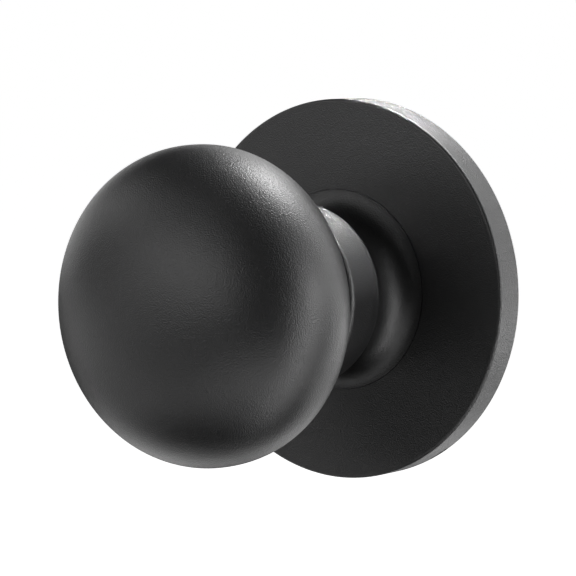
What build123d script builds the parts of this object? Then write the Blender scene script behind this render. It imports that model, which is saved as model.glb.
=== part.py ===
from build123d import *
import math
import os

os.makedirs("parts", exist_ok=True)

# Passage door knob, one side, with a round concealed-screw rose.
# Frame: millimetres, +Z up. The origin is where the turning axis meets the door's face.
# The knob points along -Y, away from the door, and the spindle along +Y, into the door.
# Every (radius, height) pair below gives a distance from the turning axis and a height
# above the door's face, towards the knob.

# Knob ball: a flattened round of revolution, fuller in front than behind.
BALL_R = 26.75
BALL_CENTRE = 44.9
BALL_FRONT = 17.65
BALL_BACK = 14.4
BALL_FRONT_FULLNESS = 2.16
BALL_BACK_FULLNESS = 2.36
BALL_WALL = 1.6

# Neck between the ball and the rose.
NECK_LIP_R = 16.5
NECK_LIP_ROUND = 1.2
NECK_TOP = 25.9
NECK_SHOULDER_R = 15.4
NECK_SHOULDER = 16.2
NECK_WAIST_R = 13.0
NECK_WAIST = 11.4
NECK_FOOT_R = 17.5
NECK_FOOT_LIFT = 0.05
NECK_WALL = 1.9
NECK_WEB = 3.9

# Ferrule that joins the ball to the neck.
FERRULE_R = 13.6
SPIGOT_R = 12.4
SKIRT_LENGTH = 7.4
SPIGOT_LENGTH = 5.5
LOCK_RING_WIDTH = 3.6
LOCK_RING_HEIGHT = 3.0

# Rose cover.
ROSE_R = 33.35
ROSE_HEIGHT = 5.9
ROSE_WALL = 1.2
ROSE_EDGE = 0.5
PRY_ANGLE = -58
PRY_WIDTH = 4.0
PRY_LOW = 0.3
PRY_HEIGHT = 0.65

# Drive tube, spindle and cross pin.
TUBE_R = 7.5
TUBE_BORE_R = 5.2
TUBE_TOP = 30.0
TUBE_FLAT_DEPTH = 0.8
SPINDLE_SIDE = 8.0
SPINDLE_TOP = 16.0
SPINDLE_REACH = 36.0
PIN_R = 1.25
PIN_HEIGHT = 21.5

# Mounting plate: its rim lies on the door, and its middle is raised.
PLATE_R = 31.6
PLATE_RIM_WIDTH = 7.0
PLATE_THICK = 1.2
PLATE_RAISE = 0.9

# Through screws, one above and one below the latch, on standard centres.
SCREW_CENTRES = 38.0
SCREW_R = 2.0
SCREW_HOLE_R = 3.2
SCREW_REACH = 31.0
SCREW_HEAD_R = 4.0
SCREW_HEAD = 1.7
RECESS_WIDTH = 0.8
RECESS_REACH = 2.1
RECESS_DEPTH = 1.1

# Spring cassette behind the plate.
CASSETTE_WALL = 1.1
CASSETTE_FLANGE_R = 24.0
CASSETTE_FLANGE = 0.8
CASSETTE_DEPTH = 12.0
RIVET_CIRCLE_R = 21.0
RIVET_R = 1.25
RIVET_HEAD_R = 2.3
RIVET_HEAD = 0.8

# Cam, stops and return spring.
TURN = 55.0
CAM_TOP = -1.9
CAM_THICK = 2.2
CAM_LUG_WIDTH = 5.0
FINGER_WIDTH = 4.0
FINGER_WALL = 0.8
STOP_R = 0.9
SPRING_WIRE_R = 0.6
SPRING_PITCH = 1.4
SPRING_ROOM = 1.9

# Bushes, washers and the retaining ring.
BUSH_WALL = 1.5
BUSH_FLANGE = 0.7
BUSH_FLANGE_WIDTH = 2.1
REAR_FLANGE_WIDTH = 1.0
WASHER_THICK = 0.5
WASHER_WIDTH = 3.6
CONE_HEIGHT = 0.9
RING_WIDTH = 3.1
RING_THICK = 0.8
RING_GROOVE = 0.8
RING_GAP = 5.0

# Snap clips that hold the rose cover.
CLIP_COUNT = 3
CLIP_WIDTH = 6.0
CLIP_THICK = 0.5
CLIP_FOOT = 5.0
CLIP_HEIGHT = 2.2
CLIP_RIVET_R = 0.8

# Clearances.
SHAFT_CLEARANCE = 0.05
SEAT_CLEARANCE = 0.05
FACE_CLEARANCE = 0.1
FREE_CLEARANCE = 0.3
ROSE_CLEARANCE = 0.1
SPINDLE_CLEARANCE = 0.06


def back_height(radius, shrink):
    """Height of the ball's back surface, brought in by shrink, at a distance from the axis."""
    share = (radius / (BALL_R - shrink)) ** BALL_BACK_FULLNESS
    return BALL_CENTRE - (BALL_BACK - shrink) * (1 - share) ** (1 / BALL_BACK_FULLNESS)


# Sizes that follow from those above, from the tube outwards and from the plate inwards.
SHAFT_BORE_R = TUBE_R + SHAFT_CLEARANCE
PLATE_FRONT = PLATE_RAISE + PLATE_THICK
BUSH_R = SHAFT_BORE_R + BUSH_WALL
BUSH_FLANGE_R = BUSH_R + BUSH_FLANGE_WIDTH
BUSH_FRONT = PLATE_FRONT + BUSH_FLANGE
WASHER_R = SHAFT_BORE_R + WASHER_WIDTH
WASHER_FRONT = BUSH_FRONT + FACE_CLEARANCE + WASHER_THICK
RING_INNER_R = TUBE_R - RING_GROOVE + SEAT_CLEARANCE
RING_R = RING_INNER_R + RING_WIDTH
NECK_BASE = WASHER_FRONT + FACE_CLEARANCE + CONE_HEIGHT
NECK_CORE_R = NECK_WAIST_R - NECK_WALL
NECK_FOOT = ROSE_HEIGHT + NECK_FOOT_LIFT
FERRULE_TOP = back_height(FERRULE_R + FREE_CLEARANCE, 0)
SPRING_R = SHAFT_BORE_R + SPRING_ROOM + SPRING_WIRE_R
CAM_R = SPRING_R + SPRING_WIRE_R + 0.2
FINGER_R = CAM_R + FREE_CLEARANCE + FINGER_WALL
RIB_R = FINGER_R + FREE_CLEARANCE
CASSETTE_INNER_R = RIB_R + FINGER_WALL
CASSETTE_R = CASSETTE_INNER_R + CASSETTE_WALL
CASSETTE_FLOOR = -CASSETTE_DEPTH
CASSETTE_INNER = CASSETTE_FLOOR + CASSETTE_WALL
STOP_CIRCLE_R = (CAM_R + CASSETTE_INNER_R) / 2
CAM_LUG_R = CASSETTE_INNER_R - FREE_CLEARANCE
CAM_BACK = CAM_TOP - CAM_THICK
REAR_BUSH_TOP = CASSETTE_INNER + BUSH_FLANGE
WASHER_BACK = CASSETTE_FLOOR - FACE_CLEARANCE - WASHER_THICK
RING_BACK = WASHER_BACK - FACE_CLEARANCE - RING_THICK
TUBE_END = RING_BACK - 1.1
ROSE_HOLE_R = NECK_FOOT_R + ROSE_CLEARANCE
CLIP_R = ROSE_R - ROSE_WALL - 0.4
RIM_INNER_R = PLATE_R - PLATE_RIM_WIDTH
RIVET_ANGLES = (45, 135, 225, 315)
CLIP_ANGLES = [90 + 360 * number / CLIP_COUNT for number in range(CLIP_COUNT)]
CLIP_RIVET_CIRCLE_R = CLIP_R - CLIP_FOOT + 1.6


def turned(*corners):
    """A solid turned about the axis from (radius, height) corners."""
    outline = Polyline(*[(radius, -height) for radius, height in corners], close=True)
    return revolve(make_face(outline), Axis.Y)


def ring(inner, outer, low, high):
    """A plain ring between two radii and two heights."""
    return turned((inner, low), (outer, low), (outer, high), (inner, high))


def rod(radius, low, high, across=0.0, up=0.0):
    """A round rod parallel to the turning axis."""
    middle = -(low + high) / 2
    return Pos(across, middle, up) * Rot(90, 0, 0) * Cylinder(radius, high - low)


def bar(width, low, high, bottom, top):
    """A bar centred across, between two heights and two levels of Z."""
    middle = -(low + high) / 2
    return Pos(0, middle, (bottom + top) / 2) * Box(width, high - low, top - bottom)


def at_angle(shape, degrees):
    """The shape turned about the axis; 0 is +X and 90 is +Z."""
    return Rot(0, -degrees, 0) * shape


def around(shape, angles):
    """Copies of a shape drawn at 0 degrees, one at each angle."""
    return [at_angle(shape, angle) for angle in angles]


def quarter(radius, depth, fullness, turn):
    """One point of the ball's outline: a superellipse, turn 0 at the rim and 90 at the pole."""
    angle = math.radians(turn)
    out = radius * math.cos(angle) ** (2 / fullness) if turn < 90 else 0.0
    return out, depth * math.sin(angle) ** (2 / fullness)


def ball(shrink):
    """The ball's solid, with its surface brought in by shrink."""
    radius = BALL_R - shrink
    turns = (0, 12, 25, 38, 51, 64, 77, 90)
    front = [quarter(radius, BALL_FRONT - shrink, BALL_FRONT_FULLNESS, t) for t in turns]
    back = [quarter(radius, BALL_BACK - shrink, BALL_BACK_FULLNESS, t) for t in turns]
    upper = [(r, -BALL_CENTRE - d) for r, d in front]
    lower = [(r, -BALL_CENTRE + d) for r, d in back]
    outline = [
        Spline(*upper, tangents=[(0, -1), (-1, 0)]),
        Spline(*lower, tangents=[(0, 1), (-1, 0)]),
        Line(upper[-1], lower[-1]),
    ]
    return revolve(make_face(outline), Axis.Y)


def knob_shell():
    seat = rod(FERRULE_R + 2, FERRULE_TOP - 4, FERRULE_TOP)
    mouth = rod(SPIGOT_R + SEAT_CLEARANCE, FERRULE_TOP - 4, FERRULE_TOP + 6)
    return ball(0) - ball(BALL_WALL) - seat - mouth


def lock_ring():
    inner = SPIGOT_R + SEAT_CLEARANCE
    outer = inner + LOCK_RING_WIDTH
    low = back_height(outer, BALL_WALL) + SEAT_CLEARANCE
    high = low + LOCK_RING_HEIGHT
    nut = ring(inner, outer, low, high)
    slot = bar(2.0, high - 1.4, high, inner - 1, outer + 1)
    return nut - slot - Rot(0, 180, 0) * slot


def stem_ferrule():
    bottom = NECK_TOP - SKIRT_LENGTH
    body = turned(
        (SHAFT_BORE_R, bottom),
        (NECK_CORE_R - SEAT_CLEARANCE, bottom),
        (NECK_CORE_R - SEAT_CLEARANCE, NECK_TOP),
        (FERRULE_R, NECK_TOP),
        (FERRULE_R, FERRULE_TOP),
        (SPIGOT_R, FERRULE_TOP),
        (SPIGOT_R, FERRULE_TOP + SPIGOT_LENGTH),
        (SHAFT_BORE_R, FERRULE_TOP + SPIGOT_LENGTH),
    )
    return body - cross_bore()


def cross_bore():
    hole = Cylinder(PIN_R + SEAT_CLEARANCE, 2 * NECK_CORE_R + 2)
    return Pos(0, -PIN_HEIGHT, 0) * Rot(0, 90, 0) * hole


def cross_pin():
    pin = Cylinder(PIN_R, 2 * (NECK_CORE_R - 0.3))
    return Pos(0, -PIN_HEIGHT, 0) * Rot(0, 90, 0) * chamfer(pin.edges(), 0.25)


def neck():
    """A body drawn in smoothly from its lip to its waist, and flared by a quarter ellipse to its foot."""
    cove_out = NECK_FOOT_R - NECK_WAIST_R
    cove_up = NECK_WAIST - NECK_FOOT
    cove = EllipticalCenterArc((NECK_FOOT_R, -NECK_WAIST), cove_out, cove_up, 90, arc_size=90)
    side = Spline(
        (NECK_WAIST_R, -NECK_WAIST),
        ((NECK_WAIST_R + NECK_SHOULDER_R) / 2 - 0.25, -(NECK_WAIST + NECK_SHOULDER) / 2 - 0.3),
        (NECK_SHOULDER_R, -NECK_SHOULDER),
        ((NECK_SHOULDER_R + NECK_LIP_R) / 2 + 0.2, -(NECK_SHOULDER + NECK_TOP) / 2 + 0.4),
        (NECK_LIP_R, -(NECK_TOP - NECK_LIP_ROUND)),
        tangents=[(0, -1), (0.08, -1)],
    )
    lip = RadiusArc(side @ 1, (NECK_LIP_R - NECK_LIP_ROUND, -NECK_TOP), NECK_LIP_ROUND)
    rest = Polyline(
        lip @ 1,
        (NECK_CORE_R, -NECK_TOP),
        (NECK_CORE_R, -NECK_BASE - NECK_WEB),
        (SHAFT_BORE_R, -NECK_BASE - NECK_WEB),
        (SHAFT_BORE_R, -NECK_BASE),
        (NECK_FOOT_R, -NECK_BASE),
        (NECK_FOOT_R, -NECK_FOOT),
    )
    return revolve(make_face([cove, side, lip, rest]), Axis.Y)


def drive_tube():
    tube = rod(TUBE_R, TUBE_END, TUBE_TOP) - rod(TUBE_BORE_R, SPINDLE_TOP, TUBE_TOP)
    tube -= square(SPINDLE_SIDE + 2 * SPINDLE_CLEARANCE, TUBE_END, SPINDLE_TOP + 1)
    groove_low = RING_BACK - FACE_CLEARANCE
    groove_high = RING_BACK + RING_THICK + FACE_CLEARANCE / 2
    tube -= ring(TUBE_R - RING_GROOVE, TUBE_R + 1, groove_low, groove_high)
    tail = flats(2 * (TUBE_R - TUBE_FLAT_DEPTH), TUBE_END - 1, CAM_TOP)
    tube &= tail + rod(TUBE_R + 1, CAM_TOP, TUBE_TOP)
    return tube - cross_bore()


def flats(across, low, high):
    """The room left between two flats, wide enough for the tube the other way."""
    return Pos(0, -(low + high) / 2, 0) * Box(across, high - low, 3 * TUBE_R)


def square(side, low, high):
    """A square bar on the axis, with its flats level."""
    return Pos(0, -(low + high) / 2, 0) * Box(side, high - low, side)


def spindle():
    blank = square(SPINDLE_SIDE, -SPINDLE_REACH, SPINDLE_TOP)
    return chamfer(blank.faces().filter_by(Axis.Y).edges(), 0.8)


def drive_cam():
    cam = rod(CAM_R, CAM_BACK, CAM_TOP)
    cam += bar(CAM_LUG_WIDTH, CAM_BACK, CAM_TOP, -CAM_LUG_R, -CAM_R + 2)
    cam += bar(FINGER_WIDTH, CAM_BACK, CAM_TOP, CAM_R - 2, FINGER_R)
    finger_end = REAR_BUSH_TOP + FREE_CLEARANCE
    cam += bar(FINGER_WIDTH, finger_end, CAM_BACK, FINGER_R - FINGER_WALL, FINGER_R)
    bore = rod(TUBE_R + SEAT_CLEARANCE, CAM_BACK, CAM_TOP)
    bore &= flats(2 * (TUBE_R - TUBE_FLAT_DEPTH + SEAT_CLEARANCE), CAM_BACK, CAM_TOP)
    return cam - bore


def retaining_ring():
    body = ring(RING_INNER_R, RING_R, RING_BACK, RING_BACK + RING_THICK)
    return body - bar(RING_GAP, RING_BACK, RING_BACK + RING_THICK, -RING_R - 1, 0)


def thrust_washer():
    return ring(SHAFT_BORE_R, WASHER_R, WASHER_FRONT - WASHER_THICK, WASHER_FRONT)


def spring_washer():
    """A coned washer that takes up the end play."""
    low = WASHER_FRONT + FACE_CLEARANCE / 2
    high = NECK_BASE - FACE_CLEARANCE / 2
    thick = WASHER_THICK * 0.8
    inner = SHAFT_BORE_R + SEAT_CLEARANCE
    return turned((inner, high - thick), (WASHER_R, low), (WASHER_R, low + thick), (inner, high))


def rear_washer():
    return ring(SHAFT_BORE_R, WASHER_R, WASHER_BACK, WASHER_BACK + WASHER_THICK)


def front_bush():
    low = CASSETTE_FLANGE - 1.3
    return turned(
        (SHAFT_BORE_R, low),
        (BUSH_R, low),
        (BUSH_R, PLATE_FRONT),
        (BUSH_FLANGE_R, PLATE_FRONT),
        (BUSH_FLANGE_R, BUSH_FRONT),
        (SHAFT_BORE_R, BUSH_FRONT),
    )


def rear_bush():
    flange_r = BUSH_R + REAR_FLANGE_WIDTH
    return turned(
        (SHAFT_BORE_R, CASSETTE_FLOOR),
        (BUSH_R, CASSETTE_FLOOR),
        (BUSH_R, CASSETTE_INNER),
        (flange_r, CASSETTE_INNER),
        (flange_r, REAR_BUSH_TOP),
        (SHAFT_BORE_R, REAR_BUSH_TOP),
    )


def plate_holes(low, high):
    """Everything that the screws, the rivets and the clip rivets take out of a plate."""
    holes = [rod(SCREW_HOLE_R, low, high, 0, side * SCREW_CENTRES / 2) for side in (-1, 1)]
    holes += around(rod(RIVET_R + SEAT_CLEARANCE, low, high, RIVET_CIRCLE_R), RIVET_ANGLES)
    holes += around(rod(CLIP_RIVET_R + SEAT_CLEARANCE, low, high, CLIP_RIVET_CIRCLE_R), CLIP_ANGLES)
    return holes


def mounting_plate():
    plate = turned(
        (BUSH_R + SEAT_CLEARANCE, PLATE_RAISE),
        (RIM_INNER_R, PLATE_RAISE),
        (RIM_INNER_R, 0),
        (PLATE_R, 0),
        (PLATE_R, PLATE_THICK),
        (RIM_INNER_R + PLATE_THICK, PLATE_THICK),
        (RIM_INNER_R + PLATE_THICK, PLATE_FRONT),
        (BUSH_R + SEAT_CLEARANCE, PLATE_FRONT),
    )
    return plate - plate_holes(-1, PLATE_FRONT + 1)


def cassette_cup():
    flange_back = PLATE_RAISE - CASSETTE_FLANGE
    cup = turned(
        (BUSH_R + SEAT_CLEARANCE, CASSETTE_FLOOR),
        (CASSETTE_R, CASSETTE_FLOOR),
        (CASSETTE_R, flange_back),
        (CASSETTE_FLANGE_R, flange_back),
        (CASSETTE_FLANGE_R, PLATE_RAISE),
        (CASSETTE_INNER_R, PLATE_RAISE),
        (CASSETTE_INNER_R, CASSETTE_INNER),
        (BUSH_R + SEAT_CLEARANCE, CASSETTE_INNER),
    )
    cup += bar(FINGER_WIDTH, CASSETTE_INNER, CAM_BACK, RIB_R, CASSETTE_INNER_R + CASSETTE_WALL / 2)
    return cup - plate_holes(flange_back - 1, PLATE_RAISE + 1) - stop_holes()


def stop_angles():
    """Where the stop pins stand, so that the cam's lug meets one at each end of the turn."""
    lug = math.degrees(math.asin(CAM_LUG_WIDTH / 2 / STOP_CIRCLE_R))
    pin = math.degrees((STOP_R + FREE_CLEARANCE / 2) / STOP_CIRCLE_R)
    return [270 + side * (TURN + lug + pin + 1) for side in (-1, 1)]


def stop_holes():
    hole = rod(STOP_R + SEAT_CLEARANCE, CASSETTE_FLOOR - 1, CASSETTE_INNER + 1, STOP_CIRCLE_R)
    return around(hole, stop_angles())


def stop_pins():
    return around(rod(STOP_R, CASSETTE_FLOOR, CAM_TOP, STOP_CIRCLE_R), stop_angles())


def return_spring():
    """A torsion spring: round wire coiled about the tube, with a straight leg at each end."""
    top = CAM_BACK - SPRING_WIRE_R - FREE_CLEARANCE
    bottom = REAR_BUSH_TOP + SPRING_WIRE_R + FREE_CLEARANCE
    leg_angle = math.degrees(math.asin((FINGER_WIDTH / 2 + SPRING_WIRE_R + 0.15) / CAM_R))
    turns = int((top - bottom) / SPRING_PITCH) + 2 * leg_angle / 360
    coil_path = Helix((top - bottom) / turns, top - bottom, SPRING_R)
    section = Plane(coil_path @ 0, z_dir=coil_path % 0) * Circle(SPRING_WIRE_R)
    coil = sweep(section, path=coil_path, is_frenet=True)
    legs = [spring_leg(0.0, 0.0), spring_leg(top - bottom, 360 * turns)]
    spring = coil + legs
    return at_angle(Pos(0, -bottom, 0) * Rot(90, 0, 0) * spring, 90 - leg_angle)


def spring_leg(height, degrees):
    """One leg, drawn along the coil's own axis, with a round elbow where it leaves the coil."""
    reach = CASSETTE_INNER_R - FREE_CLEARANCE - SPRING_R
    leg = Pos(SPRING_R + reach / 2, 0, 0) * Rot(0, 90, 0) * Cylinder(SPRING_WIRE_R, reach)
    elbow = Pos(SPRING_R, 0, 0) * Sphere(SPRING_WIRE_R)
    return Pos(0, 0, height) * Rot(0, 0, degrees) * (leg + elbow)


def rivets():
    back = PLATE_RAISE - CASSETTE_FLANGE
    rivet = rod(RIVET_R, back, PLATE_FRONT, RIVET_CIRCLE_R)
    rivet += rod(RIVET_HEAD_R, PLATE_FRONT, PLATE_FRONT + RIVET_HEAD, RIVET_CIRCLE_R)
    rivet += rod(RIVET_HEAD_R, back - RIVET_HEAD, back, RIVET_CIRCLE_R)
    return around(rivet, RIVET_ANGLES)


def through_screws():
    """Pan-head machine screws with cross recesses."""
    top = PLATE_FRONT + SCREW_HEAD
    head = rod(SCREW_HEAD_R, PLATE_FRONT, top)
    head = chamfer(head.faces().sort_by(Axis.Y)[0].edges(), 0.5)
    recess = bar(RECESS_WIDTH, top - RECESS_DEPTH, top, -RECESS_REACH, RECESS_REACH)
    recess += bar(2 * RECESS_REACH, top - RECESS_DEPTH, top, -RECESS_WIDTH / 2, RECESS_WIDTH / 2)
    screw = head + rod(SCREW_R, -SCREW_REACH, PLATE_FRONT) - recess
    return [Pos(0, 0, side * SCREW_CENTRES / 2) * screw for side in (-1, 1)]


def snap_clips():
    """Bent leaf springs on the plate's rim that grip the rose cover from inside."""
    foot_r = CLIP_R - CLIP_FOOT
    foot_mid = (foot_r + CLIP_R) / 2
    foot = Pos(foot_mid, -(PLATE_THICK + CLIP_THICK / 2), 0) * Box(CLIP_FOOT, CLIP_THICK, CLIP_WIDTH)
    wall_mid = PLATE_THICK + CLIP_HEIGHT / 2
    wall = Pos(CLIP_R - CLIP_THICK / 2, -wall_mid, 0) * Box(CLIP_THICK, CLIP_HEIGHT, CLIP_WIDTH)
    hole = rod(CLIP_RIVET_R + SEAT_CLEARANCE, 0, 4, CLIP_RIVET_CIRCLE_R)
    return around(foot + wall - hole, CLIP_ANGLES)


def clip_rivets():
    high = PLATE_THICK + CLIP_THICK
    rivet = rod(CLIP_RIVET_R, 0.2, high, CLIP_RIVET_CIRCLE_R)
    rivet += rod(CLIP_RIVET_R + 0.6, high, high + 0.4, CLIP_RIVET_CIRCLE_R)
    return around(rivet, CLIP_ANGLES)


def rose_cover():
    inner_r = ROSE_R - ROSE_WALL
    cover = turned(
        (inner_r, 0),
        (ROSE_R, 0),
        (ROSE_R, ROSE_HEIGHT),
        (ROSE_HOLE_R, ROSE_HEIGHT),
        (ROSE_HOLE_R, ROSE_HEIGHT - ROSE_WALL),
        (inner_r, ROSE_HEIGHT - ROSE_WALL),
    )
    front = cover.faces().sort_by(Axis.Y)[0]
    outer = front.edges().sort_by(SortBy.LENGTH)[-1]
    cover = fillet(outer, ROSE_EDGE)
    slot_mid = PRY_LOW + PRY_HEIGHT / 2
    slot = Pos(ROSE_R, -slot_mid, 0) * Box(6 * ROSE_WALL, PRY_HEIGHT, PRY_WIDTH)
    return cover - at_angle(slot, PRY_ANGLE)


PIECES = {
    "knob_shell": knob_shell,
    "lock_ring": lock_ring,
    "stem_ferrule": stem_ferrule,
    "cross_pin": cross_pin,
    "knob_neck": neck,
    "drive_tube": drive_tube,
    "spindle": spindle,
    "drive_cam": drive_cam,
    "retaining_ring": retaining_ring,
    "thrust_washer": thrust_washer,
    "spring_washer": spring_washer,
    "rear_washer": rear_washer,
    "front_bush": front_bush,
    "rear_bush": rear_bush,
    "mounting_plate": mounting_plate,
    "cassette_cup": cassette_cup,
    "stop_pins": stop_pins,
    "return_spring": return_spring,
    "cassette_rivets": rivets,
    "through_screws": through_screws,
    "snap_clips": snap_clips,
    "clip_rivets": clip_rivets,
    "rose_cover": rose_cover,
}

for name, make in PIECES.items():
    made = make()
    solids = made if isinstance(made, list) else [made]
    export_step(Compound(children=[s for part in solids for s in part.solids()]), f"parts/{name}.step")
    print(name)
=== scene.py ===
import math

import bpy
import numpy as np
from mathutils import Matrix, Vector


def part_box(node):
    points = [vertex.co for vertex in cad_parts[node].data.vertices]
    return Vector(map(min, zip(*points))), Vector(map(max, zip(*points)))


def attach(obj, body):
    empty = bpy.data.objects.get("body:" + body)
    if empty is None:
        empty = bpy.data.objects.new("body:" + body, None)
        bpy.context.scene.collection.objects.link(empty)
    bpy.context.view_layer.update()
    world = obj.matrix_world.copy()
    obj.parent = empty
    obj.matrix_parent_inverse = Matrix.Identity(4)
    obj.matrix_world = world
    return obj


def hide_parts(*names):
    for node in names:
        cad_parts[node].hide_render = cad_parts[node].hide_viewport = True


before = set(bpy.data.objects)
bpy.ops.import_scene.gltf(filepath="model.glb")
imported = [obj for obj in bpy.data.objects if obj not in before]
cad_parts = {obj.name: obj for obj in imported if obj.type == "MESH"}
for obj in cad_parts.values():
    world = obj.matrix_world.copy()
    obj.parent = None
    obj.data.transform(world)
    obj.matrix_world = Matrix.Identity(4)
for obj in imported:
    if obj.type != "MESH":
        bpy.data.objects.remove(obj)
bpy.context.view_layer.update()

bl_info = {
    "name": "Round Door Knob",
    "version": (1, 0, 0),
    "blender": (4, 5, 0),
    "location": "3D View > Sidebar > Door Knob",
    "description": "Builds the looks of a round passage door knob around its packed frame",
    "category": "Object",
}

# Every point is given by its radius from the turning axis, its height above the door's face
# towards the knob, and its angle about the axis, 0 at +X and 90 degrees at +Z.
# The turning axis is Y, and the knob stands towards -Y. Sizes are in metres.

MM = 0.001
ROUND_STEPS = 256
BALL_STEPS = 64
COVE_STEPS = 40
LIP_STEPS = 14
NECK_STEPS = 90
ROSE_BEND_STEPS = 8
SLOT_STEPS = 6
SHARP_ANGLE = 32.0
SCREW_SIDES = 40
THREAD_ROWS = 8
RECESS_STEPS = 26
HEAD_STEPS = 8

# How far the neck's side stands off the straight lines between its waist, shoulder and lip, as
# (radius, height), and the slope with which it meets the lip.
WAIST_EASE = (-0.25 * MM, 0.3 * MM)
SHOULDER_EASE = (0.2 * MM, -0.4 * MM)
LIP_SLOPE = (0.08, 1.0)
# The flare ends this far above the rose, and the ferrule's skirt is this much slimmer than the neck.
FOOT_LIFT = 0.05 * MM
SEAT_GAP = 0.05 * MM
BROKEN_EDGE = 0.3 * MM
# Points of the ball's back this near to its mouth are left out, and the rest crowd to both ends.
MOUTH_MARGIN = 0.2 * MM
CROWDING = 0.18
TIP_LENGTH = 0.4 * MM
# The thread's flat at its crest, and at its root, as a share of the pitch.
THREAD_FLAT = 1 / 6


def reach(node):
    """A node's outer radius, lowest height and highest height, from its box in the frame."""
    low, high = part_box(node)
    return max(high.z, high.x), -high.y, -low.y


BALL_R, BALL_LOW, BALL_TOP = reach("knob_shell")
_, NECK_LOW, NECK_TOP = reach("knob_neck")
FERRULE_R, FERRULE_LOW, FERRULE_TOP = reach("stem_ferrule")
ROSE_R, ROSE_LOW, ROSE_TOP = reach("rose_cover")
SCREW_SPAN, SCREW_LOW, SCREW_TOP = reach("through_screws")


# ---------------------------------------------------------------- sizes and colours


def length(name, description, default):
    """A distance that a user can set."""
    return bpy.props.FloatProperty(
        name=name,
        description=description,
        default=default,
        min=0.0,
        precision=5,
        subtype="DISTANCE",
        unit="LENGTH",
    )


def number(name, description, default, low=0.0, high=100.0):
    """A plain number that a user can set."""
    return bpy.props.FloatProperty(name=name, description=description, default=default, min=low, max=high)


def angle(name, description, default):
    """An angle that a user can set, given in degrees."""
    return bpy.props.FloatProperty(
        name=name, description=description, default=math.radians(default), subtype="ANGLE"
    )


def colour(name, description, default):
    """A colour that a user can set."""
    return bpy.props.FloatVectorProperty(
        name=name, description=description, default=default, size=3, min=0.0, max=1.0, subtype="COLOR"
    )


class KnobSizes(bpy.types.PropertyGroup):
    """The ball, the ferrule and the neck."""

    ball_centre: length("Ball Centre", "Height of the ball's widest circle above the door", 44.9 * MM)
    ball_back: length("Ball Back", "Depth of the ball behind its widest circle", 14.4 * MM)
    front_fullness: number("Front Fullness", "2 is an ellipse, more is fuller", 2.16, 1.5, 4.0)
    back_fullness: number("Back Fullness", "2 is an ellipse, more is fuller", 2.36, 1.5, 4.0)
    ball_wall: length("Ball Wall", "Thickness of the hollow ball", 1.6 * MM)
    spigot_step: length("Spigot Step", "How much slimmer the ferrule is inside the ball", 1.2 * MM)
    lip_radius: length("Lip Radius", "Neck's radius under the ball", 16.5 * MM)
    lip_round: length("Lip Rounding", "Rounding of the neck's lip under the ball", 1.2 * MM)
    shoulder_radius: length("Shoulder Radius", "Neck's radius where it starts to draw in", 15.4 * MM)
    shoulder_height: length("Shoulder Height", "Height where the neck starts to draw in", 16.2 * MM)
    waist_radius: length("Waist Radius", "Neck's smallest radius", 13.0 * MM)
    waist_height: length("Waist Height", "Height of the neck's smallest circle", 11.4 * MM)
    foot_radius: length("Foot Radius", "Neck's radius where it meets the rose", 17.53 * MM)
    neck_bore: length("Neck Bore", "Radius of the neck's bore at its foot", 7.55 * MM)
    neck_core: length("Neck Core", "Radius of the neck's hollow", 11.1 * MM)
    neck_web: length("Neck Web", "Thickness of the neck's foot", 3.9 * MM)


class RoseSizes(bpy.types.PropertyGroup):
    """The round cover over the fixings."""

    wall: length("Wall", "Thickness of the pressed cover", 1.2 * MM)
    edge: length("Edge Rounding", "Rounding of the cover's front edge", 0.5 * MM)
    hole: length("Hole Radius", "Radius of the hole that the neck passes", 17.58 * MM)
    slot_angle: angle("Slot Angle", "Where the slot for prying the cover off lies", -58.0)
    slot_width: length("Slot Width", "Width of that slot", 4.0 * MM)
    slot_low: length("Slot Sill", "Height of that slot's lower side above the door", 0.3 * MM)
    slot_height: length("Slot Height", "Height of that slot", 0.65 * MM)


class ScrewSizes(bpy.types.PropertyGroup):
    """The two machine screws that clamp the knob to the door."""

    head_radius: length("Head Radius", "Radius of the pan head", 4.0 * MM)
    head_height: length("Head Height", "Height of the pan head", 1.7 * MM)
    head_round: length("Head Rounding", "Rounding of the head's edge", 0.6 * MM)
    shank_radius: length("Shank Radius", "Radius over the crests of the thread", 2.0 * MM)
    pitch: length("Pitch", "Distance between two crests", 0.7 * MM)
    thread_depth: length("Thread Depth", "From the crest down to the root", 0.38 * MM)
    recess_arm: length("Recess Arm", "Width of one arm of the cross recess", 0.9 * MM)
    recess_reach: length("Recess Reach", "From the middle to the end of an arm", 2.1 * MM)
    recess_depth: length("Recess Depth", "Depth of the cross recess", 1.1 * MM)
    recess_slope: number("Recess Slope", "Fall of the recess's walls for each step inwards", 5.0, 0.5, 20.0)


class CoatLook(bpy.types.PropertyGroup):
    """The black powder coat."""

    tone: colour("Tone", "Colour of the coat", (0.010, 0.010, 0.0104))
    roughness: number("Roughness", "Mean roughness of the coat", 0.42, 0.0, 1.0)
    grain: length("Grain Size", "Size of the coat's fine grain", 0.22 * MM)
    grain_height: length("Grain Height", "Height of the fine grain", 0.06 * MM)
    peel: length("Peel Size", "Size of the slow waves in the coat", 1.4 * MM)
    peel_height: length("Peel Height", "Height of the slow waves", 0.02 * MM)


class StageLook(bpy.types.PropertyGroup):
    """The camera, the floor and the lights."""

    azimuth: angle("Azimuth", "Camera's angle round the knob", 35.85)
    elevation: angle("Elevation", "Camera's angle above the level", 5.13)
    distance: length("Distance", "From the camera to its target", 515.2 * MM)
    lens: number("Lens", "Focal length in millimetres on a 36 mm sensor", 187.5, 10.0, 500.0)
    target_across: length("Target Right", "How far the target lies to the left of the axis", 0.76 * MM)
    target_height: length("Target Height", "Target's height above the door's face", 20.0 * MM)
    target_up: length("Target Up", "Target's level above the axis", 1.21 * MM)
    floor_drop: length("Floor Drop", "How far the floor lies below the axis", 0.25)
    brightness: number("Brightness", "Scale of all the lights", 1.0)


# ---------------------------------------------------------------- outlines


def unit(vector):
    return vector / np.linalg.norm(vector)


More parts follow.
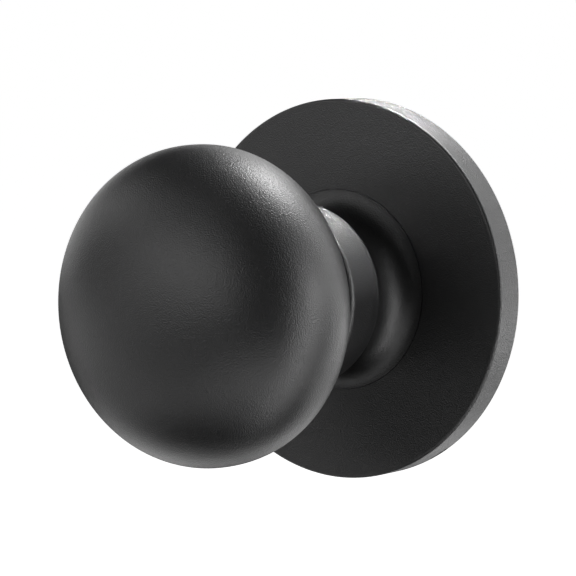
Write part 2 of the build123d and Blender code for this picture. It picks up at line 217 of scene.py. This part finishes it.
def arc_corner(before, corner, after, steps):
    """One rounded corner of an outline. The arc touches both sides, so it starts at rounding / tan(half)
    from the corner, where half is half the angle between the sides. One point on each side keeps the
    flats flat."""
    here = np.array(corner[:2])
    back, on = unit(np.array(before[:2]) - here), unit(np.array(after[:2]) - here)
    half = math.acos(float(np.clip(back @ on, -1, 1))) / 2
    start = corner[2] / math.tan(half)
    centre = here + unit(back + on) * corner[2] / math.sin(half)
    sweep = math.pi - 2 * half
    share = np.linspace(0, 1, steps + 1)[:, None]
    first, last = here + back * start - centre, here + on * start - centre
    arc = centre + (np.sin((1 - share) * sweep) * first + np.sin(share * sweep) * last) / math.sin(sweep)
    guard = 0.25 * corner[2]
    return np.vstack([here + back * (start + guard), arc, here + on * (start + guard)])


def rounded(corners, steps=6):
    """A closed outline from (radius, height, rounding) corners."""
    following = corners[1:] + corners[:1]
    preceding = corners[-1:] + corners[:-1]
    return np.vstack([arc_corner(b, c, a, steps) for b, c, a in zip(preceding, corners, following)])


def smooth_line(knots, leave, arrive, count):
    """A cubic spline through the knots, run by the distance between them: between two knots each
    coordinate is a cubic, slope and curvature carry over at every knot, and the end slopes are given."""
    knots = np.array(knots, float)
    along = np.concatenate([[0], np.cumsum(np.linalg.norm(np.diff(knots, axis=0), axis=1))])
    gap = np.diff(along)[:, None]
    slope = np.vstack([unit(np.array(leave)), np.diff(knots, axis=0) / gap, unit(np.array(arrive))])
    wide = np.concatenate([[0], gap[:, 0], [0]])
    system = np.diag(2 * (wide[:-1] + wide[1:])) + np.diag(gap[:, 0], 1) + np.diag(gap[:, 0], -1)
    bend = np.linalg.solve(system, 6 * np.diff(slope, axis=0))
    at = np.linspace(0, along[-1], count)
    i = np.clip(np.searchsorted(along, at, side="right") - 1, 0, len(knots) - 2)
    g, left, over = gap[i], (along[i + 1] - at)[:, None], (at - along[i])[:, None]
    curve = bend[i] * left**3 / (6 * g) + bend[i + 1] * over**3 / (6 * g)
    curve += (knots[i] / g - bend[i] * g / 6) * left
    return curve + (knots[i + 1] / g - bend[i + 1] * g / 6) * over


def superellipse(radius, depth, fullness, count):
    """Radius and depth from the widest circle to the pole: radius * cos(t)^(2/n), depth * sin(t)^(2/n)."""
    turn = np.linspace(0, math.pi / 2, count)
    turn = turn - CROWDING * np.sin(4 * turn) / 4
    out = radius * np.clip(np.cos(turn), 0, 1) ** (2 / fullness)
    return np.column_stack([out, depth * np.sin(turn) ** (2 / fullness)])


# ---------------------------------------------------------------- meshes


def new_piece(name, points, faces):
    """A mesh object from arrays, with its faces pointing outwards: a closed surface has a positive volume."""
    faces = [np.asarray(group) for group in faces if len(group)]
    if enclosed(points, faces) < 0:
        faces = [group[:, ::-1] for group in faces]
    mesh = bpy.data.meshes.new(name)
    mesh.from_pydata(points.tolist(), [], [face for group in faces for face in group.tolist()])
    mesh.polygons.foreach_set("use_smooth", np.ones(len(mesh.polygons), bool))
    mesh.set_sharp_from_angle(angle=math.radians(SHARP_ANGLE))
    mesh.validate()
    piece = bpy.data.objects.new(name, mesh)
    bpy.context.scene.collection.objects.link(piece)
    return piece


def enclosed(points, faces):
    """The signed volume: a sixth of the sum of a . (b x c) over the triangles that fan out of each face."""
    total = 0.0
    for group in faces:
        for k in range(1, group.shape[1] - 1):
            a, b, c = points[group[:, 0]], points[group[:, k]], points[group[:, k + 1]]
            total += float(np.einsum("ij,ij->i", a, np.cross(b, c)).sum())
    return total / 6


def grid_faces(rows, columns, wrap_rows, wrap_columns, first=0):
    """Quads of a grid of points, stored row by row from number first."""
    i = np.arange(rows if wrap_rows else rows - 1)[:, None]
    j = np.arange(columns if wrap_columns else columns - 1)[None, :]
    i_next, j_next = (i + 1) % rows, (j + 1) % columns
    corners = [i * columns + j, i * columns + j_next, i_next * columns + j_next, i_next * columns + j]
    return first + np.stack(np.broadcast_arrays(*corners), axis=-1).reshape(-1, 4)


def placed(radius, height, turn):
    """Points from radius, height and angle about the axis: (r cos a, -h, r sin a)."""
    radius, height, turn = np.broadcast_arrays(radius, height, turn)
    return np.stack([radius * np.cos(turn), -height, radius * np.sin(turn)], axis=-1).reshape(-1, 3)


def turned(outline, steps=ROUND_STEPS):
    """A closed outline turned about the axis; point (i, j) is outline point i at angle j."""
    turn = np.arange(steps) * 2 * math.pi / steps
    points = placed(outline[:, :1], outline[:, 1:], turn[None, :])
    return points, [grid_faces(len(outline), steps, True, True)]


def finish_piece(piece, body, slot_name, material, *nodes):
    """Gives a piece its material and its body, and hides the CAD nodes that it stands for."""
    piece.data.materials.append(material)
    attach(piece, body)
    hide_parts(*nodes)
    return piece


# ---------------------------------------------------------------- shader maths


class Amount:
    """A number that varies over a surface. Arithmetic on it adds Math nodes to its recipe."""

    def __init__(self, recipe, socket):
        self.recipe = recipe
        self.socket = socket

    def math(self, operation, *terms):
        node = self.recipe.node("ShaderNodeMath", {"operation": operation}, dict(enumerate(terms)))
        return node.amount(0)

    def __add__(self, other):
        return self.math("ADD", self, other)

    def __sub__(self, other):
        return self.math("SUBTRACT", self, other)

    def __mul__(self, other):
        return self.math("MULTIPLY", self, other)

    def smooth(self, low, high):
        """0 below low, 1 above high, and a smooth step between."""
        settings = {"interpolation_type": "SMOOTHSTEP"}
        inputs = {"Value": self, "From Min": low, "From Max": high}
        node = self.recipe.node("ShaderNodeMapRange", settings, inputs)
        return node.amount("Result")


class Made:
    """A node that a recipe has made, with its outputs at hand."""

    def __init__(self, recipe, node):
        self.recipe = recipe
        self.outputs = node.outputs

    def amount(self, output):
        return Amount(self.recipe, self.outputs[output])

    def socket(self, output):
        return self.outputs[output]


class Recipe:
    """A material under construction."""

    def __init__(self, name):
        self.material = bpy.data.materials.new(name)
        self.material.use_nodes = True
        self.tree = self.material.node_tree
        self.tree.nodes.clear()
        self.place = self.node("ShaderNodeTexCoord", {}, {}).socket("Object")

    def node(self, kind, settings, inputs):
        """Makes a node: first its settings, then its sockets, each from a number, a tuple or a link."""
        node = self.tree.nodes.new(kind)
        for key, value in settings.items():
            setattr(node, key, value)
        for key, value in inputs.items():
            value = value.socket if isinstance(value, Amount) else value
            if isinstance(value, bpy.types.NodeSocket):
                self.tree.links.new(value, node.inputs[key])
            else:
                node.inputs[key].default_value = value
        return Made(self, node)

    def noise(self, size, detail=2.0, where=None):
        """Cloudy noise whose lumps are about size across."""
        inputs = {"Vector": where or self.place, "Scale": 1 / size, "Detail": detail}
        return self.node("ShaderNodeTexNoise", {}, inputs).amount(0)

    def cells(self, size):
        """Distance to the nearest of scattered points about size apart, in cells."""
        inputs = {"Vector": self.place, "Scale": 1 / size}
        return self.node("ShaderNodeTexVoronoi", {}, inputs).amount("Distance")

    def parts(self):
        """The three coordinates of the place."""
        split = self.node("ShaderNodeSeparateXYZ", {}, {0: self.place})
        return [split.amount(k) for k in range(3)]

    def join(self, x, y, z):
        return self.node("ShaderNodeCombineXYZ", {}, {0: x, 1: y, 2: z}).socket(0)

    def blend(self, share, first, second):
        """A colour between two colours."""
        inputs = {0: share, 6: (*first, 1.0), 7: (*second, 1.0)}
        return self.node("ShaderNodeMix", {"data_type": "RGBA"}, inputs).socket(2)

    def bump(self, height, depth, below=None):
        """A surface normal from a height between 0 and 1 that stands for depth metres."""
        inputs = {"Height": height, "Distance": depth, "Strength": 1.0}
        if below is not None:
            inputs["Normal"] = below
        return self.node("ShaderNodeBump", {}, inputs).socket(0)

    def surface(self, **inputs):
        """Closes the recipe with the surface shader and returns the material."""
        named = {key.replace("_", " "): value for key, value in inputs.items()}
        shader = self.node("ShaderNodeBsdfPrincipled", {}, named)
        self.node("ShaderNodeOutputMaterial", {}, {"Surface": shader.socket(0)})
        return self.material


# ---------------------------------------------------------------- materials


def powder_coat(name, look):
    """Satin black powder coat: slow orange peel under a fine cured grain, with a slightly uneven sheen."""
    recipe = Recipe(name)
    grain = recipe.noise(look.grain, 0.5)
    peel = recipe.noise(look.peel, 1.0)
    cloud = recipe.noise(18 * MM, 2.0)
    deep = tuple(0.8 * part for part in look.tone)
    light = tuple(1.25 * part for part in look.tone)
    tone = recipe.blend(grain.smooth(0.3, 0.7) * 0.5 + cloud * 0.5, deep, light)
    waves = recipe.bump(peel, look.peel_height)
    normal = recipe.bump(grain, look.grain_height, below=waves)
    sheen = (cloud - 0.5) * 0.05 + (grain - 0.5) * 0.08 + look.roughness
    return recipe.surface(Base_Color=tone, Roughness=sheen, Normal=normal)


def plated_steel(name, tone, roughness):
    """Zinc-plated steel: cool bright metal with faint rolling streaks and small dull spangles."""
    recipe = Recipe(name)
    spangle = recipe.cells(1.6 * MM)
    across, deep, up = recipe.parts()
    streak = recipe.noise(0.5 * MM, 2.0, recipe.join(across * 0.06, deep, up))
    dull = tuple(0.72 * part for part in tone)
    shade = recipe.blend(spangle.smooth(0.1, 0.8) * 0.6 + streak * 0.4, tone, dull)
    rough = (streak - 0.5) * 0.2 + (spangle - 0.4) * 0.1 + roughness
    normal = recipe.bump(streak, 0.004 * MM)
    return recipe.surface(Base_Color=shade, Metallic=1.0, Roughness=rough, Normal=normal)


def cast_zinc(name):
    """Bare die-cast zinc: grey, dull and faintly mottled, with a sandy skin."""
    recipe = Recipe(name)
    mottle = recipe.noise(3.5 * MM, 4.0)
    skin = recipe.noise(0.35 * MM, 3.0)
    shade = recipe.blend(mottle.smooth(0.3, 0.7), (0.40, 0.40, 0.41), (0.53, 0.53, 0.54))
    rough = (mottle - 0.5) * 0.15 + (skin - 0.5) * 0.15 + 0.5
    normal = recipe.bump(skin, 0.02 * MM)
    return recipe.surface(Base_Color=shade, Metallic=0.9, Roughness=rough, Normal=normal)


def oiled_steel(name):
    """Dark spring steel with drawing lines and a film of oil."""
    recipe = Recipe(name)
    film = recipe.noise(2.5 * MM, 3.0)
    line = recipe.noise(0.15 * MM, 2.0)
    shade = recipe.blend(film.smooth(0.35, 0.65), (0.20, 0.20, 0.21), (0.34, 0.33, 0.31))
    rough = (film - 0.5) * 0.2 + (line - 0.5) * 0.15 + 0.3
    normal = recipe.bump(line, 0.006 * MM)
    return recipe.surface(Base_Color=shade, Metallic=1.0, Roughness=rough, Normal=normal)


def natural_nylon(name):
    """Natural nylon: warm white with a fine moulded texture."""
    recipe = Recipe(name)
    skin = recipe.noise(0.25 * MM, 2.0)
    cloud = recipe.noise(5 * MM, 2.0)
    shade = recipe.blend(cloud, (0.70, 0.68, 0.60), (0.80, 0.79, 0.73))
    rough = (skin - 0.5) * 0.2 + 0.48
    return recipe.surface(Base_Color=shade, Roughness=rough, Normal=recipe.bump(skin, 0.01 * MM))


def material(name):
    """The finished material of that name, made the first time it is asked for."""
    found = bpy.data.materials.get(name)
    return found or MAKERS[name](name)


MAKERS = {
    "Black Powder Coat": lambda name: powder_coat(name, bpy.context.scene.knob_coat),
    "Zinc Plated Steel": lambda name: plated_steel(name, (0.62, 0.63, 0.65), 0.34),
    "Die Cast Zinc": cast_zinc,
    "Oiled Spring Steel": oiled_steel,
    "Natural Nylon": natural_nylon,
}


def dress(material_name, *nodes):
    """Gives CAD nodes that stay in view their finished material."""
    for node in nodes:
        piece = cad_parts[node]
        piece.data.materials.clear()
        piece.data.materials.append(material(material_name))


# ---------------------------------------------------------------- knob pieces


def ball_outline(sizes, wall, mouth):
    """The ball's outline from a radius near its mouth to its front pole, brought in by wall."""
    radius, back_depth = BALL_R - wall, sizes.ball_back - wall
    front = superellipse(radius, BALL_TOP - sizes.ball_centre - wall, sizes.front_fullness, BALL_STEPS)
    back = superellipse(radius, back_depth, sizes.back_fullness, BALL_STEPS)
    back = back[back[:, 0] > mouth + MOUTH_MARGIN][::-1]
    start = back_depth * (1 - (mouth / radius) ** sizes.back_fullness) ** (1 / sizes.back_fullness)
    lower = np.vstack([[mouth, start], back]) * (1, -1)
    return np.vstack([lower, front[1:]]) + (0, sizes.ball_centre)


def seat_radius(sizes):
    """Where the ball's back surface comes down to its flat seat, solved from the superellipse."""
    share = (sizes.ball_centre - BALL_LOW) / sizes.ball_back
    return BALL_R * (1 - share**sizes.back_fullness) ** (1 / sizes.back_fullness)


def ball_piece(sizes):
    """The hollow ball. Its outline is a superellipse, (r / R)^n + (d / D)^n = 1, fuller in front than
    behind. The outer and inner surfaces each close at the front pole and meet in the flat seat round the
    mouth."""
    mouth = FERRULE_R - sizes.spigot_step
    outer = ball_outline(sizes, 0.0, seat_radius(sizes))
    inner = ball_outline(sizes, sizes.ball_wall, mouth)
    outline = np.vstack([outer[-2::-1], [mouth, BALL_LOW], inner[:-1]])
    turn = np.arange(ROUND_STEPS) * 2 * math.pi / ROUND_STEPS
    points = placed(outline[:, :1], outline[:, 1:], turn[None, :])
    body = grid_faces(len(outline), ROUND_STEPS, False, True)
    count = len(points)
    points = np.vstack([points, [0, -outer[-1, 1], 0], [0, -inner[-1, 1], 0]])
    i = np.arange(ROUND_STEPS)
    after = (i + 1) % ROUND_STEPS
    front = np.column_stack([np.full(ROUND_STEPS, count), after, i])
    last = count - ROUND_STEPS
    inside = np.column_stack([np.full(ROUND_STEPS, count + 1), last + i, last + after])
    return new_piece("ball", points, [body, front, inside])


def neck_side(sizes):
    """The neck's side from its foot to its lip: a quarter ellipse (r - a cos t, h - b sin t) flares the
    foot out to the rose's face, and a cubic spline carries the waist up through the shoulder to the lip."""
    lip = (sizes.lip_radius, NECK_TOP - sizes.lip_round)
    shoulder = (sizes.shoulder_radius, sizes.shoulder_height)
    waist = (sizes.waist_radius, sizes.waist_height)
    foot = (sizes.foot_radius, ROSE_TOP + FOOT_LIFT)
    turn = np.linspace(math.pi / 2, 0, COVE_STEPS)[:-1]
    cove = np.column_stack([
        foot[0] - (foot[0] - waist[0]) * np.cos(turn),
        waist[1] - (waist[1] - foot[1]) * np.sin(turn),
    ])
    low = ((waist[0] + shoulder[0]) / 2 + WAIST_EASE[0], (waist[1] + shoulder[1]) / 2 + WAIST_EASE[1])
    high = ((shoulder[0] + lip[0]) / 2 + SHOULDER_EASE[0], (shoulder[1] + NECK_TOP) / 2 + SHOULDER_EASE[1])
    side = smooth_line([waist, low, shoulder, high, lip], (0.0, 1.0), LIP_SLOPE, NECK_STEPS)
    return np.vstack([cove, side])


def neck_piece(sizes):
    """The waisted neck: its side, a round lip of (r cos t, r sin t), and its hollow, all turned."""
    turn = np.linspace(0, math.pi / 2, LIP_STEPS)[1:, None]
    centre = np.array([[sizes.lip_radius - sizes.lip_round, NECK_TOP - sizes.lip_round]])
    lip_arc = centre + sizes.lip_round * np.hstack([np.cos(turn), np.sin(turn)])
    web = NECK_LOW + sizes.neck_web
    inside = np.array([
        (sizes.neck_core + BROKEN_EDGE, NECK_TOP),
        (sizes.neck_core, NECK_TOP - BROKEN_EDGE),
        (sizes.neck_core, web),
        (sizes.neck_bore, web),
        (sizes.neck_bore, NECK_LOW),
        (sizes.foot_radius - BROKEN_EDGE, NECK_LOW),
        (sizes.foot_radius, NECK_LOW + BROKEN_EDGE),
    ])
    return new_piece("neck", *turned(np.vstack([neck_side(sizes), lip_arc, inside])))


def ferrule_piece(sizes):
    """The ferrule between the neck and the ball: a stepped ring with rounded corners."""
    skirt = sizes.neck_core - SEAT_GAP
    spigot = FERRULE_R - sizes.spigot_step
    corners = [
        (sizes.neck_bore, FERRULE_LOW, 0.1 * MM),
        (skirt, FERRULE_LOW, 0.2 * MM),
        (skirt, NECK_TOP, 0.05 * MM),
        (FERRULE_R, NECK_TOP, 0.1 * MM),
        (FERRULE_R, BALL_LOW, 0.1 * MM),
        (spigot, BALL_LOW, 0.1 * MM),
        (spigot, FERRULE_TOP, 0.3 * MM),
        (sizes.neck_bore, FERRULE_TOP, 0.1 * MM),
    ]
    return new_piece("ferrule", *turned(rounded(corners)))


def rose_piece(sizes):
    """The round rose: a shallow dish with a rounded front edge, turned about the axis. The pry slot is a
    window in its rim: the outer and inner walls have no faces there, and a frame joins the openings."""
    inner, under = ROSE_R - sizes.wall, ROSE_TOP - sizes.wall
    corners = [
        (inner, ROSE_LOW, 0.1 * MM),
        (ROSE_R, ROSE_LOW, 0.1 * MM),
        (ROSE_R, ROSE_TOP, sizes.edge),
        (sizes.hole, ROSE_TOP, 0.03 * MM),
        (sizes.hole, under, 0.1 * MM),
        (inner, under, 0.4 * MM),
    ]
    bends = rounded(corners, ROSE_BEND_STEPS)
    outer_low = 2 * len(bends) // len(corners)
    sills = np.array([sizes.slot_low, sizes.slot_low + sizes.slot_height])
    outside = np.column_stack([[ROSE_R, ROSE_R], sills])
    inside = np.column_stack([[inner, inner], sills[::-1]])
    outline = np.vstack([bends[:outer_low], outside, bends[outer_low:], inside])
    inner_top = len(outline) - 2
    half = sizes.slot_width / 2 / ROSE_R
    rest = np.linspace(half, 2 * math.pi - half, 2 * ROUND_STEPS)[1:-1]
    turn = np.concatenate([np.linspace(-half, half, SLOT_STEPS + 1), rest])
    points = placed(outline[:, :1], outline[:, 1:], turn[None, :] + sizes.slot_angle)
    columns = len(turn)
    keep = np.ones((len(outline), columns), bool)
    keep[[outer_low, inner_top], :SLOT_STEPS] = False
    body = grid_faces(len(outline), columns, True, True)[keep.ravel()]
    return new_piece("rose", points, [body, slot_frame(outer_low, inner_top, columns)])


def slot_frame(outer_low, inner_top, columns):
    """The sill, the lintel and the two jambs of the rose's slot, from its outer wall to its inner wall."""
    outer_top, inner_low = outer_low + 1, inner_top + 1
    j = np.arange(SLOT_STEPS)
    sill = [(outer_low, j), (outer_low, j + 1), (inner_low, j + 1), (inner_low, j)]
    lintel = [(outer_top, j + 1), (outer_top, j), (inner_top, j), (inner_top, j + 1)]
    first, last = np.array([0]), np.array([SLOT_STEPS])
    jamb = [(outer_top, first), (outer_low, first), (inner_low, first), (inner_top, first)]
    other = [(outer_low, last), (outer_top, last), (inner_top, last), (inner_low, last)]
    sides = (sill, lintel, jamb, other)
    return np.vstack([np.column_stack([row * columns + column for row, column in side]) for side in sides])


# ---------------------------------------------------------------- screws


def cross_depth(across, up, sizes):
    """Depth of a cross recess: it falls in proportion to the distance inside the cross, down to its floor."""
    arm, reach_out = sizes.recess_arm / 2, sizes.recess_reach
    first = np.maximum(np.abs(across) - arm, np.abs(up) - reach_out)
    second = np.maximum(np.abs(up) - arm, np.abs(across) - reach_out)
    return np.clip(-np.minimum(first, second) * sizes.recess_slope, 0, sizes.recess_depth)


def screw_surface(sizes):
    """Rows of (radius, height) round one screw's own axis, from the middle of its head to its tip. The
    head's top is sunk by the cross recess. On the shank the radius falls from the crest by the thread's
    depth times a triangle wave of height / pitch - angle / turn, cut flat at its ends. It fades out
    under the head."""
    turn = np.arange(SCREW_SIDES) * 2 * math.pi / SCREW_SIDES
    disc = np.linspace(0, sizes.head_radius - sizes.head_round, RECESS_STEPS)[1:, None] * np.ones(SCREW_SIDES)
    sunk = SCREW_TOP - cross_depth(disc * np.cos(turn), disc * np.sin(turn), sizes)
    bend = np.linspace(0, math.pi / 2, HEAD_STEPS)[1:, None]
    edge_r = sizes.head_radius - sizes.head_round * (1 - np.sin(bend)) + 0 * turn
    edge_h = SCREW_TOP - sizes.head_round * (1 - np.cos(bend)) + 0 * turn
    under = SCREW_TOP - sizes.head_height
    rows = int((under - SCREW_LOW) / sizes.pitch * THREAD_ROWS)
    low = np.linspace(under, SCREW_LOW + TIP_LENGTH, rows)[:, None]
    wave = np.abs(2 * np.mod(low / sizes.pitch - turn / (2 * math.pi), 1) - 1)
    fade = np.clip((under - low) / sizes.pitch - 1, 0, 1)
    flank = np.clip((wave - THREAD_FLAT) / (1 - 2 * THREAD_FLAT), 0, 1)
    shank = sizes.shank_radius - sizes.thread_depth * flank * fade
    tip = np.array([[sizes.shank_radius - sizes.thread_depth, SCREW_LOW]])
    radius = np.vstack([disc, edge_r, [sizes.head_radius + 0 * turn], shank, tip[:, :1] + 0 * turn])
    height = np.vstack([sunk, edge_h, [under + 0 * turn], low + 0 * turn, tip[:, 1:] + 0 * turn])
    return radius, height, turn


def screws_piece(sizes):
    """The two through screws, above and below the axis, each closed at its head's middle and its tip."""
    radius, height, turn = screw_surface(sizes)
    rows = len(radius)
    top = SCREW_TOP - sizes.recess_depth
    one = np.stack([radius * np.cos(turn), -height, radius * np.sin(turn)], axis=-1).reshape(-1, 3)
    one = np.vstack([one, [0, -top, 0], [0, -SCREW_LOW, 0]])
    i = np.arange(SCREW_SIDES)
    after = (i + 1) % SCREW_SIDES
    count = rows * SCREW_SIDES
    faces = grid_faces(rows, SCREW_SIDES, False, True)
    head = np.column_stack([np.full(SCREW_SIDES, count), after, i])
    last = count - SCREW_SIDES
    tip = np.column_stack([np.full(SCREW_SIDES, count + 1), last + i, last + after])
    rise = SCREW_SPAN - sizes.head_radius
    points = np.vstack([one + (0, 0, side * rise) for side in (-1, 1)])
    both = [np.vstack([group, group + len(one)]) for group in (faces, np.vstack([head, tip]))]
    return new_piece("screws", points, both)


# ---------------------------------------------------------------- operators


class KNOB_OT_ball(bpy.types.Operator):
    """Build the hollow ball"""

    bl_idname = "door_knob.ball"
    bl_label = "Ball"

    def execute(self, context):
        piece = ball_piece(context.scene.knob_sizes)
        finish_piece(piece, "knob", "black_coat", material("Black Powder Coat"), "knob_shell")
        return {"FINISHED"}


class KNOB_OT_neck(bpy.types.Operator):
    """Build the waisted neck and the ferrule under the ball"""

    bl_idname = "door_knob.neck"
    bl_label = "Neck and Ferrule"

    def execute(self, context):
        sizes = context.scene.knob_sizes
        coat = material("Black Powder Coat")
        finish_piece(neck_piece(sizes), "knob", "black_coat", coat, "knob_neck")
        finish_piece(ferrule_piece(sizes), "knob", "black_coat", coat, "stem_ferrule")
        return {"FINISHED"}


class KNOB_OT_rose(bpy.types.Operator):
    """Build the round rose that covers the fixings"""

    bl_idname = "door_knob.rose"
    bl_label = "Rose"

    def execute(self, context):
        piece = rose_piece(context.scene.rose_sizes)
        finish_piece(piece, "rose", "black_rose", material("Black Powder Coat"), "rose_cover")
        return {"FINISHED"}


class KNOB_OT_screws(bpy.types.Operator):
    """Build the two through screws with their threads and cross recesses"""

    bl_idname = "door_knob.screws"
    bl_label = "Through Screws"

    def execute(self, context):
        piece = screws_piece(context.scene.screw_sizes)
        finish_piece(piece, "mount", "steel", material("Zinc Plated Steel"), "through_screws")
        return {"FINISHED"}


class KNOB_OT_mechanism(bpy.types.Operator):
    """Give the plate, the cassette, the shaft and their small parts their finishes"""

    bl_idname = "door_knob.mechanism"
    bl_label = "Mechanism"

    def execute(self, context):
        dress("Zinc Plated Steel", "mounting_plate", "drive_tube", "spindle", "thrust_washer", "rear_washer")
        dress("Zinc Plated Steel", "cassette_rivets", "clip_rivets", "stop_pins", "cross_pin")
        dress("Die Cast Zinc", "cassette_cup", "drive_cam", "lock_ring")
        dress("Oiled Spring Steel", "retaining_ring", "spring_washer", "return_spring", "snap_clips")
        dress("Natural Nylon", "front_bush", "rear_bush")
        return {"FINISHED"}


# ---------------------------------------------------------------- stage

FLOOR_REACH = 8.0
SENSOR_WIDTH = 36.0
AIM = (0.0, -0.02, 0.0)
LIGHTS = [
    # name, azimuth and elevation in degrees, distance, width and height in metres, power in watts
    ("back_top", 172.0, 58.0, 1.0, 0.36, 0.36, 12.0),
    ("back_left_high", 203.0, 30.0, 1.0, 0.36, 0.36, 1.0),
    ("right_top", 152.0, 38.0, 1.0, 0.36, 0.62, 3.6),
    ("right_back", 146.0, 10.0, 1.0, 0.36, 0.36, 1.8),
    ("right_high", 100.0, 30.0, 1.0, 0.36, 0.36, 0.9),
    ("right_side", 106.0, 8.0, 1.0, 0.36, 0.36, 4.7),
    ("right", 94.0, -12.0, 1.0, 0.36, 0.36, 3.6),
    ("right_low", 90.0, -35.0, 1.0, 0.36, 0.36, 3.4),
    ("right_under", 81.0, -60.0, 1.0, 0.36, 0.36, 2.1),
    ("back_low", 160.0, -12.0, 1.0, 0.36, 0.36, 2.3),
    ("back_under", 162.0, -35.0, 1.0, 1.38, 0.36, 2.8),
    ("front_low", 30.0, -42.0, 1.0, 1.0, 0.5, 3.6),
    ("front_left", -11.0, 13.0, 1.0, 1.0, 0.4, 4.3),
    ("front_high", -15.0, 45.0, 1.0, 0.68, 0.36, 0.7),
    ("left_high", -67.0, 30.0, 1.0, 0.75, 0.36, 1.5),
    ("left_side", -70.0, -12.0, 1.0, 1.0, 0.36, 1.5),
    ("left_low", -36.0, -35.0, 1.0, 0.87, 0.36, 1.4),
    ("left_under", -140.0, -52.0, 1.0, 0.9, 0.6, 2.4),
    ("left_back", -114.0, 10.0, 1.0, 1.05, 0.36, 1.7),
    ("left_low_back", -108.0, -35.0, 1.0, 0.87, 0.36, 1.2),
]
# A small box close above the gap between the ball and the rose, held to a narrow beam on the neck.
NECK_LIGHT = ("neck_top", 186.0, 72.0, 0.24, 0.02, 0.02, 0.013)
NECK_AIM = (0.007, -0.017, 0.012)
NECK_BEAM = 4.0


def direction(azimuth, elevation):
    """The unit vector towards an azimuth and elevation in radians; azimuth 0 faces the knob's front."""
    level = math.cos(elevation)
    return Vector((math.sin(azimuth) * level, -math.cos(azimuth) * level, math.sin(elevation)))


def softbox(name, azimuth, elevation, distance, width, height, power, aim=AIM, spread=180.0):
    """A rectangular area light that faces a point on the knob, with its beam held to an angle by a grid."""
    lamp = bpy.data.lights.new(name, "AREA")
    lamp.shape = "RECTANGLE"
    lamp.size, lamp.size_y = width, height
    lamp.energy = power
    lamp.spread = math.radians(spread)
    light = bpy.data.objects.new(name, lamp)
    away = direction(math.radians(azimuth), math.radians(elevation))
    light.location = Vector(aim) + away * distance
    light.rotation_euler = away.to_track_quat("Z", "Y").to_euler()
    light.visible_camera = False
    bpy.context.scene.collection.objects.link(light)


class KNOB_OT_stage(bpy.types.Operator):
    """Set the camera, the pale floor and the studio lights"""

    bl_idname = "door_knob.stage"
    bl_label = "Stage"

    def execute(self, context):
        look = context.scene.stage_look
        lens = bpy.data.cameras.new("camera")
        lens.lens, lens.sensor_width = look.lens, SENSOR_WIDTH
        lens.clip_start, lens.clip_end = 0.01, 100.0
        camera = bpy.data.objects.new("camera", lens)
        context.scene.collection.objects.link(camera)
        back = direction(look.azimuth, look.elevation)
        target = Vector((-look.target_across, -look.target_height, look.target_up))
        camera.location = target + back * look.distance
        camera.rotation_euler = back.to_track_quat("Z", "Y").to_euler()
        context.scene.camera = camera
        context.scene.view_settings.view_transform = "Standard"
        for *box, power in LIGHTS:
            softbox(*box, power * look.brightness)
        *box, power = NECK_LIGHT
        softbox(*box, power * look.brightness, NECK_AIM, NECK_BEAM)
        self.backdrop(context, look)
        return {"FINISHED"}

    def backdrop(self, context, look):
        """A white surround that only the camera sees, and a pale floor that doesn't light the knob."""
        world = bpy.data.worlds.new("studio")
        context.scene.world = world
        world.use_nodes = True
        world.node_tree.nodes["Background"].inputs["Color"].default_value = (1, 1, 1, 1)
        world.cycles_visibility.diffuse = False
        world.cycles_visibility.glossy = False
        corners = np.array([(-1, -1, 0), (1, -1, 0), (1, 1, 0), (-1, 1, 0)]) * FLOOR_REACH
        corners[:, 2] = -look.floor_drop
        mesh = bpy.data.meshes.new("floor")
        mesh.from_pydata(corners.tolist(), [], [(0, 1, 2, 3)])
        floor = bpy.data.objects.new("floor", mesh)
        context.scene.collection.objects.link(floor)
        recipe = Recipe("Pale Floor")
        paint = recipe.surface(
            Base_Color=(0.85, 0.85, 0.85, 1),
            Roughness=0.9,
            Emission_Color=(1, 1, 1, 1),
            Emission_Strength=1.0,
        )
        mesh.materials.append(paint)
        floor.visible_diffuse = False
        floor.visible_glossy = False


class KNOB_PT_panel(bpy.types.Panel):
    """Lists the steps that build the door knob's looks."""

    bl_idname = "KNOB_PT_panel"
    bl_label = "Door Knob"
    bl_space_type = "VIEW_3D"
    bl_region_type = "UI"
    bl_category = "Door Knob"

    def draw(self, context):
        for step in STEPS:
            self.layout.operator(step.bl_idname)
        for group in GROUPS:
            column = self.layout.column(align=True)
            column.label(text=group.replace("_", " ").title())
            for key in getattr(context.scene, group).bl_rna.properties.keys():
                if key not in ("rna_type", "name"):
                    column.prop(getattr(context.scene, group), key)


STEPS = [KNOB_OT_stage, KNOB_OT_ball, KNOB_OT_neck, KNOB_OT_rose, KNOB_OT_screws, KNOB_OT_mechanism]
GROUPS = {
    "knob_sizes": KnobSizes,
    "rose_sizes": RoseSizes,
    "screw_sizes": ScrewSizes,
    "knob_coat": CoatLook,
    "stage_look": StageLook,
}


def register():
    for kind in [*GROUPS.values(), *STEPS, KNOB_PT_panel]:
        bpy.utils.register_class(kind)
    for name, group in GROUPS.items():
        setattr(bpy.types.Scene, name, bpy.props.PointerProperty(type=group))


def unregister():
    for name in GROUPS:
        delattr(bpy.types.Scene, name)
    for kind in [KNOB_PT_panel, *STEPS[::-1], *GROUPS.values()]:
        bpy.utils.unregister_class(kind)


def main():
    register()
    for step in STEPS:
        area, name = step.bl_idname.split(".")
        getattr(getattr(bpy.ops, area), name)()


if __name__ == "__main__":
    main()
